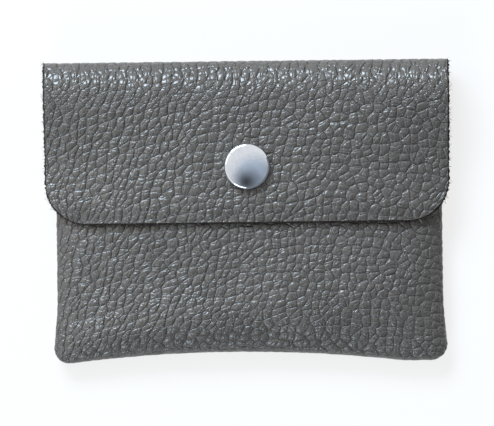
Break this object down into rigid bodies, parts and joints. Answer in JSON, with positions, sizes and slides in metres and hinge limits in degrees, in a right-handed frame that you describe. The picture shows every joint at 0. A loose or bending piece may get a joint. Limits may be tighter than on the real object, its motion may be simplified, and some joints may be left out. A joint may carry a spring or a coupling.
{
  "type": "coin purse",
  "caption": "Small flat leather purse with a turned, sewn pouch and a fold-over flap closed by a domed press stud.",
  "frame": {"origin": "centre of the back's resting face, on the table under the middle of the purse", "axes": "+X across the purse, +Y from the base up to the top fold, +Z out of the flap's face"},
  "size_m": [0.111, 0.083, 0.0152],
  "materials": {
    "leather": "pebbled grain, low sheen",
    "suede": "flesh side, napped",
    "thread": "matt polyester",
    "plated_cap": "bright nickel",
    "plated_steel": "satin nickel plate",
    "spring_wire": "bright wire"
  },
  "bodies": {
    "pouch": {"back_panel": "leather", "front_panel": "leather", "needle_thread": "thread", "bobbin_thread": "thread", "snap_stud": "plated_steel", "stud_post": "plated_steel", "stud_patch": "suede"},
    "fold": {"top_fold": "leather"},
    "flap": {"flap_panel": "leather", "snap_cap": "plated_cap", "cap_post": "plated_steel", "snap_socket": "plated_steel", "socket_spring": "spring_wire"}
  },
  "joints": [
    {"name": "fold_hinge", "type": "hinge", "parent": "pouch", "child": "fold", "pos_m": [0, 0.03961, 0.00189], "axis": [-1, 0, 0], "range_deg": [0, 87]},
    {"name": "flap_hinge", "type": "hinge", "parent": "fold", "child": "flap", "pos_m": [0, 0.03961, 0.01131], "axis": [-1, 0, 0], "range_deg": [0, 87], "deforming": ["socket_spring"]}
  ],
  "couplings": [
    {"joint": "fold_hinge", "follows": "flap_hinge", "ratio": 1}
  ]
}
